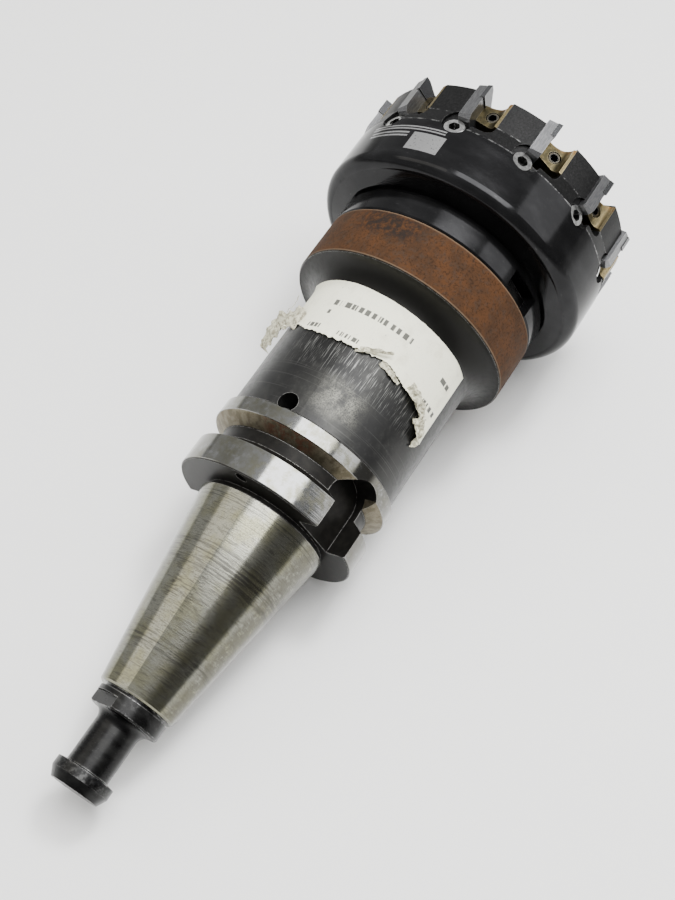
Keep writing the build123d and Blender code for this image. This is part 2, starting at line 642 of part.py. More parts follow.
def all_pieces():
    """Every named piece about the tool's own axis."""
    pieces = {
        "taper_holder": taper_holder(),
        "pull_stud": pull_stud(),
        "cutter_body": cutter_body(),
        "lock_screw": lock_screw(),
        "paper_label": paper_label(),
    }
    for number, angle in enumerate(KEY_ANGLES, start=1):
        pieces[f"drive_key_{number}"] = about_axis(drive_key(), angle)
        pieces[f"drive_key_screw_{number}"] = about_axis(drive_key_screw(), angle)
    tooth = {
        "blade": blade(),
        "wedge": wedge(),
        "wedge_screw": wedge_screw(),
        "adjusting_screw": adjusting_screw(),
    }
    for number, angle in enumerate(tooth_angles(), start=1):
        for name, solid in tooth.items():
            pieces[f"{name}_{number:02d}"] = about_axis(solid, angle)
    return pieces


def main():
    os.makedirs("parts", exist_ok=True)
    for name, solid in all_pieces().items():
        export_step(place(solid), f"parts/{name}.step")


main()
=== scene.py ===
from math import asin, atan2, cos, hypot, radians, sin, sqrt

import bpy
from mathutils import Matrix, Vector, noise


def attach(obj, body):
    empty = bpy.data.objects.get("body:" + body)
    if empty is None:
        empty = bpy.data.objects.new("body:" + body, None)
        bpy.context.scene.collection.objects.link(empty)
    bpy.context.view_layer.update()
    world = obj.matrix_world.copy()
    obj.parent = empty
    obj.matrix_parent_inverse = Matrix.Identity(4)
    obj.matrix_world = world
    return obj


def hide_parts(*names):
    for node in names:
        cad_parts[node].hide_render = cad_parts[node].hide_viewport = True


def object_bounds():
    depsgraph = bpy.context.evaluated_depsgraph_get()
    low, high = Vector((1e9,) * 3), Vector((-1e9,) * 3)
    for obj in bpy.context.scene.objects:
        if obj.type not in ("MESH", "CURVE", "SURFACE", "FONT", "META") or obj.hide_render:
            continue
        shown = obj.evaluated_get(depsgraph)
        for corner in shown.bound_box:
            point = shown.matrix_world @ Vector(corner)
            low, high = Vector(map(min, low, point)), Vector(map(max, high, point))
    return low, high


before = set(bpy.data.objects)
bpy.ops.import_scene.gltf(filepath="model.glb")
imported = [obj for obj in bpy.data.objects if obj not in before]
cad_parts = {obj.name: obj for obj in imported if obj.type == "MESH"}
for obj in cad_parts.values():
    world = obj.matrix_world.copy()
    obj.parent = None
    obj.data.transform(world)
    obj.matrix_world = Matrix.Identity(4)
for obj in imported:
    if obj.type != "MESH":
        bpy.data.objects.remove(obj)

cad_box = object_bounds()

# Places on the tool, as the CAD part has them: millimetres from the gauge line, or from the axis.
FLANGE_EDGE = 2.5
FLANGE_FRONT = 27.0
FLANGE_RADIUS = 31.5
FLANK_START = 18.6
GROOVE_FRONT = 21.6
GROOVE_BOTTOM_RADIUS = 26.5
BODY_RADIUS = 30.0
BODY_FILLET_START = 73.3
BODY_FILLET_RADIUS = 8.0
COLLAR_BACK = 81.3
COLLAR_FACE = 100.0
COLLAR_RADIUS = 39.0
RIM_CORNER = 4.0
RIM_CORNER_PLACE = 115.6
RIM_FRONT = 131.1
RIM_RADIUS = 49.0
BLOCK_BACK = 136.9
BLOCK_RADIUS = 48.0
TIP_BACK = 144.6
TIP_INNER_RADIUS = 43.0
TIP_SEAM_SIDE = -1.15

# The tool lies on its flange and on the cutter's round back corner, so its axis leans up by LEAN from +X,
# in the XZ plane. In the tool's own frame the axis is Z, counted in millimetres from the gauge line
# towards the cutting end, and X is the uppermost side.
REST_ALONG = RIM_CORNER_PLACE - FLANGE_EDGE
REST_ACROSS = RIM_RADIUS - RIM_CORNER - FLANGE_RADIUS
LEAN = atan2(REST_ACROSS, REST_ALONG) + asin(RIM_CORNER / hypot(REST_ACROSS, REST_ALONG))
TOOL_TO_ROW = Matrix(((-sin(LEAN), 0, cos(LEAN)), (0, -1, 0), (cos(LEAN), 0, sin(LEAN))))
MM_PER_M = 1000
TOOTH_PITCH = 30
FIRST_TOOTH = -5
WEDGE_SCREW_SIDE = 4.5
WEDGE_SCREW_ALONG = 142.0
ADJUSTER_SIDE = -3.4
ADJUSTER_ALONG = 131.7

TOOL_MIDDLE = Vector((0.03, 0, 0))

ROOM_STRENGTH = 2.0
ROOM_DARK_SIDE = 0.32
ROOM_DARK_FROM_TO = (-0.75, 0.7)
ROOM_EVEN_FROM_TO = (0.6, 1.3)
ROOM_BY_HEIGHT = ((0, 0.42), (0.2, 0.44), (0.5, 0.4), (0.75, 0.52), (1, 0.58))

FLOOR_MIDDLE = (0.09, 0.03, -0.031)
FLOOR_GREYS = (0.31, 0.6)
FLOOR_HALF = 3.0

CAMERA_PLACE = (-0.1659, -0.1340, 0.3486)
CAMERA_TURN = (34.69, -0.279, -57.08)
CAMERA_LENS = 52.48
CAMERA_SENSOR = 36


def row_point(x, y, z):
    """Tool-frame millimetres to row-frame metres."""
    return TOOL_TO_ROW @ Vector((x, y, z)) / MM_PER_M


# ---- Camera, floor and light -----------------------------------------------------------------------
def add_camera():
    data = bpy.data.cameras.new("camera")
    data.lens = CAMERA_LENS
    data.sensor_width = CAMERA_SENSOR
    data.clip_start = 0.01
    camera = bpy.data.objects.new("camera", data)
    camera.location = CAMERA_PLACE
    camera.rotation_euler = [radians(turn) for turn in CAMERA_TURN]
    bpy.context.scene.collection.objects.link(camera)
    bpy.context.scene.camera = camera


def direction(azimuth, elevation):
    """Unit vector from degrees: azimuth counted from +X towards +Y, elevation up from the floor."""
    a, e = radians(azimuth), radians(elevation)
    return Vector((cos(e) * cos(a), cos(e) * sin(a), sin(e)))


def add_area(name, azimuth, elevation, distance, size, power, color=(1, 1, 1)):
    """A rectangular soft box facing the middle of the tool; size is across, then along the tool's axis."""
    data = bpy.data.lights.new(name, "AREA")
    data.shape = "RECTANGLE"
    data.size, data.size_y = size
    data.energy = power
    data.color = color
    lamp = bpy.data.objects.new(name, data)
    back = direction(azimuth, elevation)
    along = Vector((1, 0, 0)) - back.x * back
    along.normalize()
    lamp.matrix_world = Matrix((along.cross(back), along, back)).transposed().to_4x4()
    lamp.location = TOOL_MIDDLE + back * distance
    bpy.context.scene.collection.objects.link(lamp)
    return lamp


def add_world():
    """A plain room: brighter overhead than at the horizon, and darker low down on the -Y side."""
    world = bpy.data.worlds.new("studio")
    world.use_nodes = True
    tree = world.node_tree
    background = tree.nodes["Background"]
    background.inputs["Color"].default_value = (1, 1, 1, 1)
    where = tree.nodes.new("ShaderNodeTexCoord").outputs["Generated"]
    split = tree.nodes.new("ShaderNodeSeparateXYZ")
    tree.links.new(where, split.inputs[0])

    def ramp(value, points):
        made = tree.nodes.new("ShaderNodeFloatCurve")
        curve = made.mapping.curves[0]
        curve.points[0].location = points[0]
        curve.points[1].location = points[-1]
        for point in points[1:-1]:
            curve.points.new(*point)
        made.mapping.update()
        tree.links.new(value, made.inputs["Value"])
        return made.outputs[0]

    def mapped(value, first_and_last, low):
        made = tree.nodes.new("ShaderNodeMapRange")
        tree.links.new(value, made.inputs["Value"])
        made.inputs["From Min"].default_value, made.inputs["From Max"].default_value = first_and_last
        made.inputs["To Min"].default_value = low
        return made.outputs["Result"]

    def times(first, second):
        made = tree.nodes.new("ShaderNodeMath")
        made.operation = "MULTIPLY"
        tree.links.new(first, made.inputs[0])
        if isinstance(second, float):
            made.inputs[1].default_value = second
        else:
            tree.links.new(second, made.inputs[1])
        return made.outputs[0]

    height = ramp(split.outputs["Z"], ROOM_BY_HEIGHT)
    shade = tree.nodes.new("ShaderNodeMix")
    tree.links.new(mapped(split.outputs["Z"], ROOM_EVEN_FROM_TO, 0.0), shade.inputs[0])
    tree.links.new(mapped(split.outputs["Y"], ROOM_DARK_FROM_TO, ROOM_DARK_SIDE), shade.inputs[2])
    shade.inputs[3].default_value = 1.0
    strength = times(times(height, shade.outputs[0]), ROOM_STRENGTH)
    tree.links.new(strength, background.inputs["Strength"])
    bpy.context.scene.world = world


def add_light():
    """The room, a large soft box overhead, a small key that gloss does not show, a lamp and a window."""
    add_world()
    add_area("overhead", -60, 78, 1.2, (0.95, 0.82), 23)
    key = add_area("key", -24, 65, 1.2, (0.26, 0.26), 11)
    key.visible_glossy = False
    add_area("lamp", -61, 34, 1.2, (0.6, 0.5), 3.0)
    add_area("window", 108, 50, 1.2, (0.9, 0.5), 2.5, (1, 0.95, 0.84))


def add_floor():
    low = cad_box[0][2]
    mesh = bpy.data.meshes.new("floor")
    turns = ((-1, -1), (1, -1), (1, 1), (-1, 1))
    corners = [(x * FLOOR_HALF, y * FLOOR_HALF, low) for x, y in turns]
    mesh.from_pydata(corners, [], [(0, 1, 2, 3)])
    floor = bpy.data.objects.new("floor", mesh)
    bpy.context.scene.collection.objects.link(floor)
    floor.data.materials.append(floor_material())


# ---- Shader helpers --------------------------------------------------------------------------------
class Shader:
    """Builds one material's nodes. Masks are numbers from 0 to 1, colours are linear."""

    def __init__(self, name):
        self.material = bpy.data.materials.new(name)
        self.material.use_nodes = True
        self.tree = self.material.node_tree
        self.surface = self.tree.nodes["Principled BSDF"]

    def node(self, kind, **settings):
        made = self.tree.nodes.new(kind)
        for key, value in settings.items():
            setattr(made, key, value)
        return made

    def feed(self, socket, value):
        if isinstance(value, bpy.types.NodeSocket):
            self.tree.links.new(value, socket)
        elif isinstance(value, (tuple, list)) and len(value) == 3 and socket.type == "RGBA":
            socket.default_value = (*value, 1)
        else:
            socket.default_value = value

    def math(self, operation, *values, clamp=False):
        made = self.node("ShaderNodeMath", operation=operation, use_clamp=clamp)
        for socket, value in zip(made.inputs, values):
            self.feed(socket, value)
        return made.outputs[0]

    def step(self, value, low, high):
        """0 below low, 1 above high, smooth between. With high below low it falls instead."""
        made = self.node("ShaderNodeMapRange", interpolation_type="SMOOTHSTEP")
        flip = high < low
        self.feed(made.inputs["Value"], value)
        made.inputs["From Min"].default_value = min(low, high)
        made.inputs["From Max"].default_value = max(low, high)
        made.inputs["To Min"].default_value = 1.0 if flip else 0.0
        made.inputs["To Max"].default_value = 0.0 if flip else 1.0
        return made.outputs["Result"]

    def band(self, value, centre, half, soft):
        """1 within half of centre, falling to 0 over soft."""
        away = self.math("ABSOLUTE", self.math("SUBTRACT", value, centre))
        return self.step(away, half + soft, half)

    def multiply(self, *values):
        total = values[0]
        for value in values[1:]:
            total = self.math("MULTIPLY", total, value)
        return total

    def largest(self, *values):
        total = values[0]
        for value in values[1:]:
            total = self.math("MAXIMUM", total, value)
        return total

    def mix(self, mask, low, high):
        """Colour low where mask is 0, high where it is 1."""
        made = self.node("ShaderNodeMix", data_type="RGBA")
        self.feed(made.inputs[0], mask)
        self.feed(made.inputs[6], low)
        self.feed(made.inputs[7], high)
        return made.outputs[2]

    def blend(self, mask, low, high):
        """Number low where mask is 0, high where it is 1."""
        made = self.node("ShaderNodeMix", data_type="FLOAT")
        self.feed(made.inputs[0], mask)
        self.feed(made.inputs[2], low)
        self.feed(made.inputs[3], high)
        return made.outputs[0]

    def tool(self):
        """Position in the tool's own frame, in millimetres: vector, x, y, z, radius."""
        coordinates = self.node("ShaderNodeTexCoord").outputs["Object"]
        turn = self.node("ShaderNodeMapping", vector_type="POINT")
        turn.inputs["Rotation"].default_value = TOOL_TO_ROW.transposed().to_euler()
        turn.inputs["Scale"].default_value = (MM_PER_M, MM_PER_M, MM_PER_M)
        self.feed(turn.inputs["Vector"], coordinates)
        vector = turn.outputs["Vector"]
        parts = self.node("ShaderNodeSeparateXYZ")
        self.feed(parts.inputs[0], vector)
        x, y, z = parts.outputs
        across = self.math("ADD", self.math("MULTIPLY", x, x), self.math("MULTIPLY", y, y))
        return vector, x, y, z, self.math("SQRT", across)

    def around(self, x, y):
        """Angle about the tool axis in degrees, 0 on the uppermost side."""
        return self.math("DEGREES", self.math("ARCTAN2", y, x))

    def tooth_side(self, x, y, radius):
        """Distance in front of the nearest tooth's rake plane, in millimetres, in the cutting direction."""
        turned = self.math("SUBTRACT", self.around(x, y), FIRST_TOOTH)
        whole = self.math("ROUND", self.math("DIVIDE", turned, TOOTH_PITCH))
        folded = self.math("SUBTRACT", turned, self.math("MULTIPLY", whole, TOOTH_PITCH))
        return self.math("MULTIPLY", radius, self.math("SINE", self.math("RADIANS", folded)))

    def distance(self, a, a_centre, b, b_centre):
        """Distance from a centre, in the plane of two lengths at right angles."""
        across = self.math("SUBTRACT", a, a_centre)
        along = self.math("SUBTRACT", b, b_centre)
        across = self.math("MULTIPLY", across, across)
        along = self.math("MULTIPLY", along, along)
        return self.math("SQRT", self.math("ADD", across, along))

    def scaled(self, vector, scale):
        made = self.node("ShaderNodeMapping", vector_type="POINT")
        made.inputs["Scale"].default_value = scale
        self.feed(made.inputs["Vector"], vector)
        return made.outputs["Vector"]

    def noise(self, vector, scale=1.0, detail=3.0, rough=0.55, distortion=0.0):
        made = self.node("ShaderNodeTexNoise")
        self.feed(made.inputs["Vector"], vector)
        made.inputs["Scale"].default_value = scale
        made.inputs["Detail"].default_value = detail
        made.inputs["Roughness"].default_value = rough
        made.inputs["Distortion"].default_value = distortion
        return made.outputs["Fac"]

    def edges(self, radius):
        """1 near a sharp outward or inward edge, from the difference a rounded normal makes."""
        rounded = self.node("ShaderNodeBevel", samples=6)
        rounded.inputs["Radius"].default_value = radius
        plain = self.node("ShaderNodeNewGeometry").outputs["Normal"]
        dot = self.node("ShaderNodeVectorMath", operation="DOT_PRODUCT")
        self.feed(dot.inputs[0], rounded.outputs[0])
        self.feed(dot.inputs[1], plain)
        return self.step(dot.outputs["Value"], 0.995, 0.9)

    def bump(self, height, strength, distance, normal=None):
        made = self.node("ShaderNodeBump")
        self.feed(made.inputs["Height"], height)
        made.inputs["Strength"].default_value = strength
        made.inputs["Distance"].default_value = distance
        if normal is not None:
            self.feed(made.inputs["Normal"], normal)
        return made.outputs["Normal"]

    def finish(self, color, roughness, metallic=0.0, normal=None, **fixed):
        self.feed(self.surface.inputs["Base Color"], color)
        self.feed(self.surface.inputs["Roughness"], roughness)
        self.feed(self.surface.inputs["Metallic"], metallic)
        if normal is not None:
            self.feed(self.surface.inputs["Normal"], normal)
        for key, value in fixed.items():
            self.surface.inputs[key.replace("_", " ")].default_value = value
        return self.material


def floor_material():
    """Pale sheet with a faint grain that greys off well away from the tool."""
    s = Shader("floor")
    coordinates = s.node("ShaderNodeTexCoord").outputs["Object"]
    grain = s.noise(coordinates, 90, 4)
    color = s.mix(grain, (0.87, 0.87, 0.86), (0.89, 0.89, 0.88))
    away = s.node("ShaderNodeVectorMath", operation="DISTANCE")
    s.feed(away.inputs[0], coordinates)
    away.inputs[1].default_value = FLOOR_MIDDLE
    far = s.step(away.outputs["Value"], *FLOOR_GREYS)
    color = s.mix(far, color, (0.36, 0.36, 0.35))
    return s.finish(color, 0.6)


# ---- Metal -----------------------------------------------------------------------------------------
def taper_look(s, vector, z, around):
    """Ground taper: warm patina, short marks across the axis, darkening on either side that is partly
    tarnish and partly painted shade, dark rub bands and two scribed rings.
    """
    cloud = s.noise(vector, 0.10, 4, 0.6)
    across = s.noise(s.scaled(vector, (0.28, 0.28, 2.9)), 1.0, 3, 0.6)
    speckle = s.noise(vector, 2.6, 4, 0.7)
    color = s.mix(s.step(cloud, 0.40, 0.62), (0.215, 0.215, 0.182), (0.190, 0.186, 0.128))
    color = s.mix(s.multiply(s.step(across, 0.50, 0.64), 0.6), color, (0.085, 0.082, 0.068))
    color = s.mix(s.multiply(s.step(speckle, 0.52, 0.64), 0.55), color, (0.085, 0.080, 0.060))
    # Partly real streaky tarnish, partly painted shade: either side of the taper is darkened where it faces
    # the floor beside the tool, which lies in shadow.
    side_tarnish_and_shade = s.largest(s.step(around, 54, 68), s.multiply(s.step(around, -36, -56), 0.6))
    side_tarnish_and_shade = s.multiply(side_tarnish_and_shade, s.step(s.noise(vector, 0.45, 5, 0.7), 0.30, 0.52), 0.75)
    color = s.mix(side_tarnish_and_shade, color, (0.080, 0.076, 0.060))
    rub = s.noise(s.scaled(vector, (0.06, 0.06, 1.5)), 1.0, 3, 0.6)
    rub_bands = s.largest(s.band(z, -21, 3, 3), s.band(z, -49.5, 1.0, 2.5))
    rubbed = s.multiply(rub_bands, s.step(rub, 0.46, 0.60))
    color = s.mix(s.multiply(rubbed, 0.6), color, (0.045, 0.043, 0.04))
    hatch = s.multiply(s.band(z, -31, 4, 3), s.band(around, -8, 12, 10), s.step(across, 0.46, 0.58))
    color = s.mix(s.multiply(hatch, 0.5), color, (0.07, 0.065, 0.055))
    rings = s.largest(s.band(z, -2.2, 0.08, 0.14), s.band(z, -3.4, 0.06, 0.12))
    color = s.mix(s.multiply(rings, 0.6), color, (0.05, 0.05, 0.045))
    rough = s.blend(s.step(speckle, 0.45, 0.65), 0.14, 0.24)
    return color, rough


def body_look(s, vector, z, around):
    """Black oxide of the body: satin, worn through near the flange, scraped along the axis by the label,
    with painted shade on the side that faces the shadowed floor.
    """
    cloud = s.noise(vector, 0.07, 4, 0.6)
    mottle = s.noise(vector, 0.55, 5, 0.7)
    color = s.mix(s.step(cloud, 0.35, 0.68), (0.022, 0.022, 0.022), (0.038, 0.038, 0.036))
    color = s.mix(s.multiply(s.step(mottle, 0.50, 0.70), 0.30), color, (0.060, 0.060, 0.056))
    grain = s.noise(vector, 2.2, 4, 0.7)
    spot_shape = s.step(s.noise(vector, 0.2, 3), 0.34, 0.58)
    spot = s.multiply(s.band(z, 37.5, 2, 7), s.band(around, 15, 5, 16), spot_shape)
    color = s.mix(s.multiply(spot, s.step(grain, 0.34, 0.62), 0.75), color, (0.16, 0.158, 0.135))
    dark = s.multiply(s.step(z, 46, 54), s.step(z, 81, 76), s.step(s.noise(vector, 0.18, 3), 0.30, 0.62))
    color = s.mix(s.multiply(dark, 0.75), color, (0.014, 0.014, 0.014))
    girth = s.math("MULTIPLY", around, BODY_RADIUS * radians(1))
    flat = s.node("ShaderNodeCombineXYZ")
    s.feed(flat.inputs[0], girth)
    s.feed(flat.inputs[1], s.math("MULTIPLY", z, 0.042))
    lines = s.noise(flat.outputs[0], 3.0, 2, 0.5)
    fine = s.noise(flat.outputs[0], 4.6, 1, 0.5)
    field = s.multiply(s.step(z, 41, 48), s.step(z, 62, 57), s.band(around, 20, 46, 14))
    scrapes = s.largest(s.step(lines, 0.58, 0.66), s.multiply(s.step(fine, 0.62, 0.72), 0.6))
    scraped = s.multiply(scrapes, field)
    color = s.mix(s.multiply(scraped, 0.7), color, (0.22, 0.22, 0.21))
    # Painted shade: the side of the body from 50 to 75 degrees round onwards is darkened evenly, as the
    # floor beside it lies in shadow.
    color = s.mix(s.multiply(s.step(around, 50, 75), 0.5), color, (0.010, 0.010, 0.009))
    neck = s.step(z, 74.0, 75.5)
    color = s.mix(neck, color, (0.009, 0.0088, 0.008))
    turned = s.noise(s.scaled(vector, (0.03, 0.03, 2.2)), 1.0, 2, 0.5)
    turning_marks = s.multiply(s.step(turned, 0.60, 0.66), s.step(z, 46, 42), 0.14)
    color = s.mix(turning_marks, color, (0.16, 0.16, 0.15))
    rough = s.blend(s.step(mottle, 0.35, 0.7), 0.34, 0.46)
    return color, rough


def ring_look(s, vector, around, speckle):
    """Ground outer faces of the flange, tarnished in greenish and tan blotches; darker blotches on either
    side are partly tarnish, partly painted shade.
    """
    blotch = s.noise(vector, 0.26, 5, 0.65)
    color = s.mix(s.step(blotch, 0.42, 0.66), (0.225, 0.228, 0.226), (0.165, 0.163, 0.130))
    # The blotches on either side of the rings, which face the shadowed floor beside the tool, are partly
    # tarnish and partly painted shade.
    left = s.multiply(s.step(around, 2, -14), s.step(s.noise(vector, 0.35, 4, 0.65), 0.30, 0.52), 0.6)
    color = s.mix(left, color, (0.125, 0.122, 0.098))
    right = s.multiply(s.step(around, 36, 50), s.step(s.noise(vector, 0.35, 4, 0.65), 0.28, 0.48), 0.8)
    color = s.mix(right, color, (0.085, 0.081, 0.068))
    stain = s.multiply(s.step(s.noise(vector, 0.5, 4, 0.7), 0.55, 0.68), 0.55)
    color = s.mix(stain, color, (0.15, 0.145, 0.115))
    color = s.mix(s.multiply(s.step(speckle, 0.60, 0.72), 0.35), color, (0.10, 0.09, 0.07))
    rough = s.blend(s.step(blotch, 0.45, 0.7), 0.10, 0.20)
    return color, rough


def flank_look(s, vector, around, speckle):
    """Back flank of the front ring: tan and olive tarnish with a rust-red patch near the top."""
    blotch = s.noise(vector, 0.3, 5, 0.65)
    color = s.mix(s.step(blotch, 0.42, 0.60), (0.215, 0.190, 0.135), (0.135, 0.118, 0.078))
    red = s.multiply(s.band(around, 2, 10, 12), s.step(s.noise(vector, 0.42, 4, 0.65), 0.40, 0.56))
    color = s.mix(s.multiply(red, 0.8), color, (0.185, 0.088, 0.056))
    return s.mix(s.multiply(s.step(speckle, 0.52, 0.68), 0.5), color, (0.08, 0.066, 0.05))


def rust_look(s, vector, z, around):
    """Rust on the collar: brown, finely mottled, with a grey-black stain near the top."""
    grain = s.noise(vector, 1.3, 5, 0.72)
    patch = s.noise(vector, 0.13, 5, 0.65)
    fleck = s.noise(vector, 0.5, 5, 0.7)
    color = s.mix(s.step(patch, 0.36, 0.62), (0.040, 0.0205, 0.0105), (0.062, 0.0275, 0.0115))
    color = s.mix(s.multiply(s.step(fleck, 0.48, 0.66), 0.6), color, (0.040, 0.0275, 0.0195))
    color = s.mix(s.multiply(s.step(grain, 0.48, 0.66), 0.7), color, (0.0145, 0.0085, 0.005))
    where = s.multiply(s.band(around, -14, 9, 14), s.band(z, 95.5, 2.5, 4))
    color = s.mix(s.multiply(where, s.step(fleck, 0.38, 0.58), 0.8), color, (0.012, 0.0105, 0.010))
    edge = s.largest(s.band(z, COLLAR_FACE - 0.3, 0.25, 0.3), s.band(z, COLLAR_BACK + 0.3, 0.25, 0.3))
    color = s.mix(s.multiply(edge, 0.6), color, (0.14, 0.095, 0.06))
    return color, grain


def holder_material():
    """Ground taper and flange rings, black oxide elsewhere, rust on the collar."""
    s = Shader("holder_steel")
    vector, x, y, z, radius = s.tool()
    around = s.around(x, y)
    speckle = s.noise(vector, 1.9, 5, 0.7)
    taper, taper_rough = taper_look(s, vector, z, around)
    color, rough = body_look(s, vector, z, around)
    ring, ring_rough = ring_look(s, vector, around, speckle)
    rust, rust_grain = rust_look(s, vector, z, around)
    mottle = s.step(s.noise(vector, 0.4, 3), 0.35, 0.7)
    dark = s.mix(mottle, (0.007, 0.0066, 0.0060), (0.012, 0.0112, 0.0098))
    back_face = s.step(z, 0.9, 0.6)
    dark = s.mix(back_face, dark, (0.022, 0.022, 0.022))
    in_flange = s.multiply(s.step(z, 0.0, 0.3), s.step(z, FLANGE_FRONT + 0.3, FLANGE_FRONT - 0.1))
    on_taper = s.step(z, 0.3, 0.0)
    on_ring = s.multiply(in_flange, s.step(radius, FLANGE_RADIUS - 0.3, FLANGE_RADIUS - 0.15))
    past_start = s.step(z, FLANK_START, FLANK_START + 0.2)
    in_flank = s.multiply(past_start, s.step(z, GROOVE_FRONT + 0.2, GROOVE_FRONT - 0.1))
    on_flank = s.multiply(in_flank, s.step(radius, GROOVE_BOTTOM_RADIUS + 0.1, GROOVE_BOTTOM_RADIUS + 0.4))
    on_collar = s.step(radius, COLLAR_RADIUS - 0.7, COLLAR_RADIUS - 0.3)
    on_collar = s.multiply(s.step(z, COLLAR_BACK + 0.1, COLLAR_BACK + 0.5), on_collar)
    color = s.mix(in_flange, color, dark)
    color = s.mix(on_flank, color, flank_look(s, vector, around, speckle))
    color = s.mix(on_taper, color, taper)
    color = s.mix(on_ring, color, ring)
    collar_back = s.multiply(s.step(z, COLLAR_BACK - 0.4, COLLAR_BACK - 0.1), s.step(radius, 31, 33))
    color = s.mix(collar_back, color, (0.009, 0.0088, 0.008))
    color = s.mix(on_collar, color, rust)
    rough = s.blend(in_flange, rough, 0.42)
    rough = s.blend(on_flank, rough, 0.55)
    rough = s.blend(on_taper, rough, taper_rough)
    rough = s.blend(on_ring, rough, ring_rough)
    rough = s.blend(on_collar, rough, 0.85)
    metallic = s.blend(s.largest(on_taper, on_ring, on_flank), 0.75, 1.0)
    metallic = s.blend(on_collar, metallic, 0.0)
    plain = s.largest(s.step(z, 74, 76), s.multiply(in_flange, s.step(z, 0.6, 0.9)))
    plain = s.multiply(plain, s.math("SUBTRACT", 1.0, s.largest(on_ring, on_flank)))
    metallic = s.blend(plain, metallic, s.blend(on_collar, 0.35, 0.0))
    gloss = s.blend(plain, 0.5, 0.12)
    s.feed(s.surface.inputs["Specular IOR Level"], gloss)
    # Light broken lines on sharp edges and hole rims: partly wear, partly painted highlight.
    edge_wear_and_highlight = s.multiply(s.edges(0.0004), s.step(s.noise(vector, 0.5, 3), 0.30, 0.55), 0.65)
    edge_wear_and_highlight = s.multiply(edge_wear_and_highlight, s.blend(on_collar, 1.0, 0.0))
    color = s.mix(edge_wear_and_highlight, color, (0.36, 0.355, 0.34))
    turned = s.noise(s.scaled(vector, (0.03, 0.03, 1.3)), 1.0, 3, 0.55)
    height = s.blend(on_collar, turned, rust_grain)
    normal = s.bump(height, 0.2, 0.00006)
    return s.finish(color, rough, metallic, normal)


def black_oxide_material(name, deep, grey, gloss, worn_edges):
    """Blackened steel with worn edges; the pull stud and the hidden fasteners use it."""
    s = Shader(name)
    vector, _, _, z, _ = s.tool()
    smear = s.noise(s.scaled(vector, (0.16, 0.16, 0.4)), 1.0, 4, 0.6)
    speckle = s.noise(vector, 2.2, 5, 0.7)
    color = s.mix(s.step(smear, 0.40, 0.70), deep, grey)
    color = s.mix(s.multiply(s.step(speckle, 0.60, 0.74), 0.30), color, (0.12, 0.12, 0.12))
    rub = s.multiply(s.band(z, -67.0, 1.5, 1.2), s.step(s.noise(vector, 0.6, 4, 0.65), 0.46, 0.66), 0.12)
    rim = s.multiply(s.band(z, -90.6, 1.6, 0.8), s.step(s.noise(vector, 0.8, 4, 0.65), 0.42, 0.64), 0.3)
    color = s.mix(s.largest(rub, rim), color, (0.12, 0.12, 0.118))
    broken = s.step(s.noise(vector, 0.7, 4, 0.6), 0.36, 0.58)
    color = s.mix(s.multiply(s.edges(0.0004), broken, worn_edges), color, (0.36, 0.36, 0.355))
    rough = s.blend(s.step(smear, 0.35, 0.75), gloss, gloss + 0.12)
    normal = s.bump(speckle, 0.12, 0.00004)
    return s.finish(color, rough, 0.8, normal)


def cutter_material():
    """Glossy black cutter body: broken silvery lines on its outer corners, satin speckled tooth blocks."""
    s = Shader("cutter_black")
    vector, x, y, z, radius = s.tool()
    smear = s.noise(s.scaled(vector, (0.08, 0.08, 0.2)), 1.0, 4, 0.6)
    speckle = s.noise(vector, 1.6, 6, 0.75)
    broken = s.noise(vector, 0.55, 4, 0.65)
    color = s.mix(s.step(smear, 0.40, 0.75), (0.012, 0.012, 0.0127), (0.021, 0.021, 0.022))
    on_block = s.step(z, RIM_FRONT - 0.2, RIM_FRONT + 0.5)
    block = s.mix(s.step(speckle, 0.35, 0.68), (0.011, 0.011, 0.0112), (0.024, 0.024, 0.0242))
    block = s.mix(s.multiply(s.step(speckle, 0.62, 0.72), 0.35), block, (0.09, 0.09, 0.09))
    color = s.mix(on_block, color, block)
    outer = s.step(radius, BLOCK_RADIUS - 0.8, BLOCK_RADIUS - 0.4)
    rim_line = s.multiply(s.band(z, RIM_FRONT, 0.10, 0.22), s.step(broken, 0.44, 0.58), outer)
    block_line = s.multiply(s.band(z, BLOCK_BACK, 0.10, 0.22), s.step(broken, 0.50, 0.64), outer)
    edge = s.multiply(s.edges(0.0004), s.step(s.noise(vector, 0.9, 3), 0.44, 0.60), on_block, 0.5)
    wear = s.multiply(s.largest(block_line, rim_line, edge), 0.7)
    color = s.mix(wear, color, (0.26, 0.26, 0.255))
    scuffs = s.noise(s.scaled(vector, (0.5, 0.5, 3.0)), 1.0, 2, 0.5)
    color = s.mix(s.multiply(s.step(scuffs, 0.70, 0.74), 0.3), color, (0.10, 0.10, 0.10))
    around = s.around(x, y)
    on_side = s.step(radius, RIM_RADIUS - 1.0, RIM_RADIUS - 0.4)
    plate = s.multiply(s.band(around, -14.5, 7, 0.2), s.band(z, 121.4, 3.6, 0.15))
    long_pair = s.largest(s.band(z, 127.4, 0.22, 0.1), s.band(z, 126.3, 0.22, 0.1))
    short_pair = s.largest(s.band(z, 124.6, 0.3, 0.1), s.band(z, 123.2, 0.3, 0.1))
    long_bars = s.multiply(long_pair, s.band(around, -27, 18, 0.3))
    short_bars = s.multiply(short_pair, s.band(around, -34, 10, 0.3))
    rubbed = s.step(s.noise(vector, 1.4, 4, 0.7), 0.30, 0.42)
    mark = s.multiply(s.largest(plate, s.largest(long_bars, short_bars)), on_side, rubbed)
    color = s.mix(s.multiply(mark, 0.85), color, (0.40, 0.40, 0.40))
    rough = s.blend(on_block, s.blend(smear, 0.09, 0.17), 0.40)
    normal = s.bump(s.blend(on_block, smear, speckle), 0.15, 0.00005)
    return s.finish(color, rough, 0.75, normal, Specular_Tint=(0.6, 0.6, 0.6, 1))


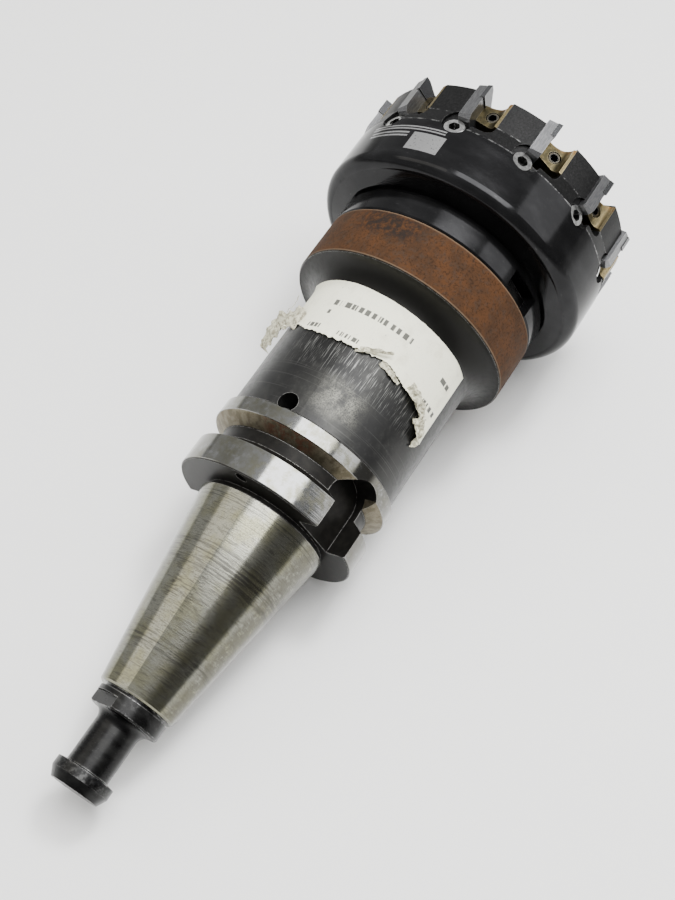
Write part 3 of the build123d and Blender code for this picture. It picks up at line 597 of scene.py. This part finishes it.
def blade_material():
    """Ground steel blade; its diamond tip plate is darker, with a thin dark seam behind it."""
    s = Shader("blade_steel")
    vector, x, y, z, radius = s.tool()
    side = s.tooth_side(x, y, radius)
    ground = s.noise(s.scaled(vector, (3.0, 3.0, 0.5)), 1.0, 3, 0.6)
    speckle = s.noise(vector, 1.3, 5, 0.7)
    color = s.mix(s.step(ground, 0.35, 0.65), (0.115, 0.116, 0.120), (0.170, 0.171, 0.174))
    color = s.mix(s.multiply(s.step(speckle, 0.54, 0.70), 0.5), color, (0.085, 0.085, 0.085))
    on_tip = s.multiply(s.step(side, TIP_SEAM_SIDE - 0.05, TIP_SEAM_SIDE + 0.03),
                        s.step(z, TIP_BACK - 0.1, TIP_BACK + 0.1),
                        s.step(radius, TIP_INNER_RADIUS - 0.1, TIP_INNER_RADIUS + 0.1))
    color = s.mix(s.multiply(on_tip, 0.75), color, (0.075, 0.076, 0.08))
    seam = s.multiply(s.band(side, TIP_SEAM_SIDE, 0.07, 0.10), s.step(z, TIP_BACK - 0.4, TIP_BACK))
    in_front = s.step(side, TIP_SEAM_SIDE - 0.05, TIP_SEAM_SIDE + 0.05)
    behind = s.multiply(s.band(z, TIP_BACK, 0.06, 0.10), in_front)
    color = s.mix(s.multiply(s.largest(seam, behind), 0.9), color, (0.012, 0.012, 0.012))
    edge = s.multiply(s.edges(0.00025), 0.55)
    color = s.mix(edge, color, (0.46, 0.46, 0.46))
    rough = s.blend(on_tip, s.blend(ground, 0.30, 0.42), 0.22)
    normal = s.bump(ground, 0.15, 0.00004)
    return s.finish(color, rough, 0.9, normal)


def wedge_material():
    """Gold-coloured clamping wedge: olive and brown plate, bright rim strip, orange tinge at the front."""
    s = Shader("wedge_brass")
    vector, _, _, z, radius = s.tool()
    cloud = s.noise(vector, 0.7, 4, 0.6)
    speckle = s.noise(vector, 2.6, 5, 0.7)
    color = s.mix(s.step(cloud, 0.38, 0.60), (0.150, 0.122, 0.062), (0.078, 0.068, 0.038))
    color = s.mix(s.multiply(s.step(speckle, 0.50, 0.68), 0.6), color, (0.045, 0.038, 0.022))
    rim = s.step(radius, 46.0, 46.8)
    color = s.mix(s.multiply(rim, s.step(speckle, 0.66, 0.5), 0.9), color, (0.27, 0.215, 0.11))
    orange = s.multiply(s.step(z, 144.4, 146.5), s.step(cloud, 0.35, 0.6), 0.7)
    color = s.mix(orange, color, (0.24, 0.11, 0.035))
    color = s.mix(s.multiply(s.edges(0.00025), 0.6), color, (0.55, 0.48, 0.30))
    normal = s.bump(speckle, 0.15, 0.00004)
    return s.finish(color, s.blend(cloud, 0.26, 0.40), 0.95, normal)


def screw_material():
    """Bright plated screws; the hexagon sockets are darkened with painted shade."""
    s = Shader("screw_steel")
    vector, x, y, z, radius = s.tool()
    side = s.tooth_side(x, y, radius)
    cloud = s.noise(vector, 0.9, 4, 0.6)
    color = s.mix(s.step(cloud, 0.35, 0.65), (0.42, 0.42, 0.415), (0.62, 0.62, 0.61))
    from_wedge_screw = s.distance(side, WEDGE_SCREW_SIDE, z, WEDGE_SCREW_ALONG)
    from_adjuster = s.distance(side, ADJUSTER_SIDE, z, ADJUSTER_ALONG)
    small = s.step(z, 134.5, 135.5)
    color = s.mix(small, color, (0.15, 0.135, 0.10))
    # Painted shade: the inside of each hexagon socket is darkened, measured round a line straight out from
    # the tool axis.
    color = s.mix(s.multiply(s.step(from_wedge_screw, 1.6, 1.4), 0.97), color, (0.008, 0.008, 0.008))
    color = s.mix(s.multiply(s.step(from_adjuster, 1.95, 1.7), 0.85), color, (0.015, 0.015, 0.015))
    color = s.mix(s.multiply(s.edges(0.0003), s.blend(small, 0.7, 0.25)), color, (0.8, 0.8, 0.79))
    normal = s.bump(cloud, 0.1, 0.00004)
    return s.finish(color, s.blend(cloud, 0.18, 0.30), 1.0, normal)


# Plain bars that stand where the label had lines of print: middle on the axis, half height, first angle,
# last angle, share of the row that is printed.
PRINTED_ROWS = ((67.7, 1.0, -28, 30, 0.46), (57.9, 0.8, -34, -22, 0.48), (57.3, 0.8, -11, 4, 0.46),
                (63.8, 0.7, -26, -24, 0.2), (66.2, 0.8, 60, 71, 0.44), (56.2, 0.8, 57, 72, 0.48))
PRINT_PER_DEGREE = 0.52


def printed_bars(s, z, around, middle, half, first, last, bare):
    """Row of short plain bars with uneven lengths and gaps."""
    place = s.node("ShaderNodeCombineXYZ")
    s.feed(place.inputs[0], s.math("MULTIPLY", around, PRINT_PER_DEGREE))
    place.inputs[1].default_value = middle
    broken = s.step(s.noise(place.outputs[0], 0.8, 2, 0.5), bare, bare + 0.02)
    across = s.band(around, (first + last) / 2, (last - first) / 2, 0.2)
    return s.multiply(s.band(z, middle, half, 0.15), across, broken)


def paper_material():
    """Off-white label paper: fibres, faint smudges, small dark flecks and the rows of plain bars."""
    s = Shader("label_paper")
    vector, x, y, z, _ = s.tool()
    fibre = s.noise(vector, 1.7, 5, 0.7)
    smudge = s.noise(vector, 0.16, 4, 0.6)
    color = s.mix(s.step(smudge, 0.50, 0.74), (0.88, 0.87, 0.70), (0.76, 0.74, 0.58))
    color = s.mix(s.multiply(s.step(fibre, 0.50, 0.74), 0.35), color, (0.55, 0.54, 0.43))
    around = s.around(x, y)
    rows = (printed_bars(s, z, around, *row) for row in PRINTED_ROWS)
    color = s.mix(s.multiply(s.largest(*rows), 0.92), color, (0.03, 0.03, 0.03))
    fleck = s.step(s.noise(vector, 1.1, 2, 0.5), 0.73, 0.76)
    color = s.mix(s.multiply(fleck, 0.5), color, (0.25, 0.24, 0.21))
    normal = s.bump(fibre, 0.25, 0.00006)
    return s.finish(color, 0.8, 0.0, normal)


def torn_paper_material():
    """Crumpled, delaminated paper: creamier and more soiled than the face of the label; its dark patches
    are partly soiling and partly painted crease shade.
    """
    s = Shader("torn_paper")
    vector, *_ = s.tool()
    fibre = s.noise(vector, 2.4, 5, 0.75)
    dirt_and_crease_shade = s.noise(vector, 0.9, 4, 0.65)
    # Dark patches: partly soiling, partly painted shade standing in for the creases.
    color = s.mix(s.step(dirt_and_crease_shade, 0.42, 0.62), (0.60, 0.58, 0.44), (0.26, 0.24, 0.17))
    color = s.mix(s.multiply(s.step(fibre, 0.50, 0.70), 0.55), color, (0.17, 0.16, 0.13))
    normal = s.bump(fibre, 0.6, 0.0001)
    return s.finish(color, 0.85, 0.0, normal)


def dress_frame():
    """Give every CAD node its material."""
    black = black_oxide_material("black_oxide", (0.0065, 0.0065, 0.0065), (0.015, 0.015, 0.0145), 0.27, 0.6)
    screw = screw_material()
    by_start = {
        "taper_holder": holder_material(),
        "cutter_body": cutter_material(),
        "blade": blade_material(),
        "wedge_screw": screw,
        "adjusting_screw": screw,
        "wedge": wedge_material(),
    }
    for name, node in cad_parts.items():
        chosen = next((look for start, look in by_start.items() if name.startswith(start)), black)
        for place in node.material_slots:
            place.material = chosen


# ---- Torn paper label ------------------------------------------------------------------------------
LABEL_LEFT = -62
LABEL_RIGHT = 77
# The sheet's two edges and how far the torn one curls up: (angle, place on the axis or lift).
TORN_EDGE = ((-62, 58), (-43, 57.5), (-36, 56.0), (-30, 55.6), (-20, 55.0), (-12, 54.6), (3, 54.9),
             (11, 55.2), (20, 56.4), (25, 56.6), (31, 55.8), (39, 54.2), (50, 53.0), (57, 51.9),
             (61, 51.4), (62.5, 48.6), (70, 47.2), (77, 46.6))
TOP_EDGE = ((-62, 76.4), (-34, 76.2), (-17, 76.0), (-2, 75.5), (26, 75.1), (43, 74.9), (62, 74.8),
            (77, 74.1))
CURL = ((-62, 0.3), (-20, 0.5), (8, 1.0), (18, 0.5), (34, 0.8), (41, 1.2), (52, 1.9), (60, 1.5), (64, 0.6),
        (77, 0.25))
SHEET_LIFT = 0.12
CURL_LENGTH = 4.0
LEFT_END_LIFT = 1.3
LEFT_END_REACH = 9
PAPER_THICKNESS = 0.12
LABEL_GRID = (520, 56)
SHRED_GRID = (90, 26)

# Loose pieces of the torn paper: places along the middle of each, as (angle, radius, place on the axis).
LEFT_FLAP = ((-44, 30.6, 59.0), (-56, 31.7, 60.2), (-66, 33.2, 60.2), (-74, 34.0, 58.0), (-81, 34.6, 54.8),
             (-85, 33.6, 52.6))
STRAND = ((-66, 32.6, 60.5), (-68, 33.4, 64.5), (-67, 33.2, 68.5), (-70, 33.6, 72.0))
MIDDLE_SHRED = ((5, 30.5, 54.9), (13, 31.6, 56.4), (20, 32.3, 58.2), (25, 32.4, 59.6))
SHRED_UNDER = ((22, 30.3, 55.8), (30, 31.0, 54.6), (37, 31.2, 53.4))
EDGE_CRUMPLE = ((43, 31.4, 55.6), (50, 32.0, 54.6), (57, 31.8, 53.6), (63, 31.2, 51.6))
RIGHT_PIECE = ((63, 30.7, 51.4), (67, 31.3, 48.4), (71, 31.1, 45.6), (73, 30.5, 44.2))


def between(pairs, at):
    """Straight-line reading of a list of (place, value) pairs."""
    if at <= pairs[0][0]:
        return pairs[0][1]
    for (a, low), (b, high) in zip(pairs, pairs[1:]):
        if at <= b:
            return low + (high - low) * (at - a) / (b - a)
    return pairs[-1][1]


def label_radius(z):
    """Radius of the holder under the label, where the body runs out into its fillet."""
    rise = z - BODY_FILLET_START
    if rise <= 0:
        return BODY_RADIUS
    return BODY_RADIUS + BODY_FILLET_RADIUS - sqrt(BODY_FILLET_RADIUS ** 2 - rise ** 2)


def ragged(angle, size, seed, pace=0.35):
    return size * noise.fractal(Vector((angle * pace, seed, 0)), 1.0, 2.2, 4)


def around_tool(angle, radius, z):
    """Tool-frame point from an angle about the axis, a radius and a place along it."""
    a = radians(angle)
    return Vector((radius * cos(a), radius * sin(a), z))


def grid_faces(columns, rows):
    faces = []
    for i in range(columns):
        for j in range(rows):
            a = i * (rows + 1) + j
            faces.append((a, a + rows + 1, a + rows + 2, a + 1))
    return faces


def paper_object(name, points, faces, material):
    """Sheet of paper through tool-frame points, riding on the tool."""
    mesh = bpy.data.meshes.new(name)
    mesh.from_pydata([row_point(*point) for point in points], [], faces)
    mesh.shade_smooth()
    paper = bpy.data.objects.new(name, mesh)
    bpy.context.scene.collection.objects.link(paper)
    solid = paper.modifiers.new("thickness", "SOLIDIFY")
    solid.thickness = PAPER_THICKNESS / MM_PER_M
    solid.offset = 1
    paper.data.materials.append(material)
    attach(paper, "tool")
    return paper


def build_label(material):
    """The sheet that is still stuck down, with its torn edge lifting off the body."""
    columns, rows = LABEL_GRID
    points = []
    for i in range(columns + 1):
        angle = LABEL_LEFT + (LABEL_RIGHT - LABEL_LEFT) * i / columns
        low = between(TORN_EDGE, angle) + ragged(angle, 0.55, 3.0)
        high = between(TOP_EDGE, angle) + ragged(angle, 0.08, 9.0)
        curl = between(CURL, angle) * (0.85 + ragged(angle, 0.5, 11.0, 0.12))
        for j in range(rows + 1):
            share = (j / rows) ** 1.4
            z = low + (high - low) * share
            near = max(0.0, 1.0 - (z - low) / CURL_LENGTH)
            wave = 0.05 * noise.noise(Vector((angle * 0.08, z * 0.15, 2.0)))
            left = max(0.0, (LABEL_LEFT + LEFT_END_REACH - angle) / LEFT_END_REACH)
            left *= max(0.0, 1 - (z - low) / LEFT_END_REACH)
            lift = SHEET_LIFT + curl * near ** 2 + wave + LEFT_END_LIFT * left ** 2
            points.append(around_tool(angle, label_radius(z) + lift, z))
    label = paper_object("label", points, grid_faces(columns, rows), material)
    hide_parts("paper_label")


def along_spine(spine, share):
    """Point at a share of the way along the spine, through smoothly joined places."""
    place = share * (len(spine) - 1)
    i = min(int(place), len(spine) - 2)
    t = place - i
    near = [spine[min(max(k, 0), len(spine) - 1)] for k in range(i - 1, i + 3)]
    values = []
    for p0, p1, p2, p3 in zip(*near):
        slope = (p2 - p0) / 2
        bend = p0 - 2.5 * p1 + 2 * p2 - p3 / 2
        twist = (p3 - p0) / 2 + 1.5 * (p1 - p2)
        values.append(p1 + t * (slope + t * (bend + t * twist)))
    return around_tool(*values)


def build_shred(name, spine, width, tip_width, crumple, tilt, seed, material):
    """Torn, crumpled strip of paper that follows a spine and stands up by tilt degrees at its far end."""
    columns, rows = SHRED_GRID
    points = []
    for i in range(columns + 1):
        share = i / columns
        middle = along_spine(spine, share)
        ahead = along_spine(spine, min(share + 0.01, 1.0))
        behind = along_spine(spine, max(share - 0.01, 0.0))
        outward = Vector((middle.x, middle.y, 0)).normalized()
        across = (ahead - behind).cross(outward).normalized()
        raised = radians(tilt) * share
        across = across * cos(raised) + outward * sin(raised)
        wide = width + (tip_width - width) * share
        torn = (ragged(i, 0.28 * wide, seed, 0.055), ragged(i, 0.28 * wide, seed + 5, 0.055))
        for j in range(rows + 1):
            side = (j / rows - 0.5) * wide
            side += torn[0] if j > rows / 2 else -torn[1]
            at = middle + across * side
            folds = noise.fractal(at * 0.42 + Vector((seed, 0, 0)), 1.1, 2.1, 3)
            points.append(at + outward * crumple * folds + across * 0.3 * crumple * folds)
    paper_object(name, points, grid_faces(columns, rows), material)


def build_shreds(material):
    build_shred("label_flap", LEFT_FLAP, 6.6, 5.6, 0.9, 62, 1.0, material)
    build_shred("label_strand", STRAND, 0.9, 0.4, 0.5, 0, 2.0, material)
    build_shred("label_shred", MIDDLE_SHRED, 2.2, 0.6, 0.7, -25, 3.0, material)
    build_shred("label_under", SHRED_UNDER, 2.2, 1.2, 0.6, 0, 4.0, material)
    build_shred("label_edge", EDGE_CRUMPLE, 4.0, 3.6, 1.3, 12, 6.0, material)
    build_shred("label_crumple", RIGHT_PIECE, 5.6, 4.2, 1.3, 15, 5.0, material)


add_camera()
add_light()
add_floor()
dress_frame()
build_label(paper_material())
build_shreds(torn_paper_material())
